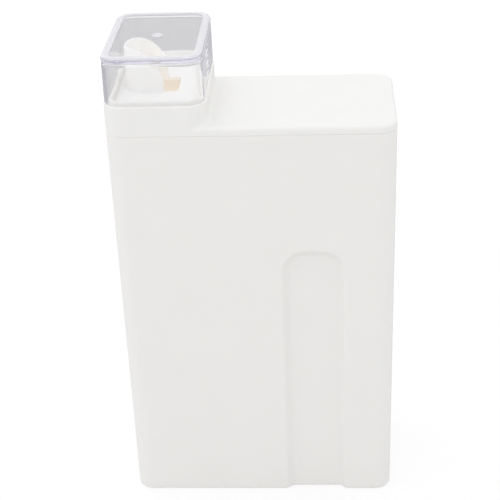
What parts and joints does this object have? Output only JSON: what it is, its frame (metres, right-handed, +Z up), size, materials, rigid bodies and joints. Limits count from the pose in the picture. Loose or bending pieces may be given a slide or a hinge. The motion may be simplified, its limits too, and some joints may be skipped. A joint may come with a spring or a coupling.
{
  "type": "dispenser bottle",
  "caption": "Slim upright refillable bottle for laundry liquid, with a lift-off cover, a raised turret, a drain-back pour spout and a clear measuring cup as its cap.",
  "frame": {"origin": "middle of the base, on the surface it stands on", "axes": "+Z up, X along the wide front with the turret at the -X end, +Y from front to back"},
  "size_m": [0.15, 0.0776, 0.266],
  "materials": {
    "bottle_plastic": "white polypropylene with a fine matt grain",
    "cover_plastic": "white polypropylene with a satin surface",
    "seal_rubber": "soft translucent white silicone",
    "spout_plastic": "smooth white polypropylene",
    "clear_plastic": "clear polystyrene, polished"
  },
  "bodies": {
    "bottle": {"bottle_body": "bottle_plastic"},
    "cover": {"top_cover": "cover_plastic", "cover_seal": "seal_rubber", "pour_spout": "spout_plastic"},
    "cap": {"measuring_cap": "clear_plastic"}
  },
  "joints": [
    {"name": "cover_lift", "type": "slide", "parent": "bottle", "child": "cover", "axis": [0, 0, 1], "range_m": [0, 0.08]},
    {"name": "cap_lift", "type": "slide", "parent": "cover", "child": "cap", "axis": [0, 0, 1], "range_m": [0, 0.07]}
  ]
}
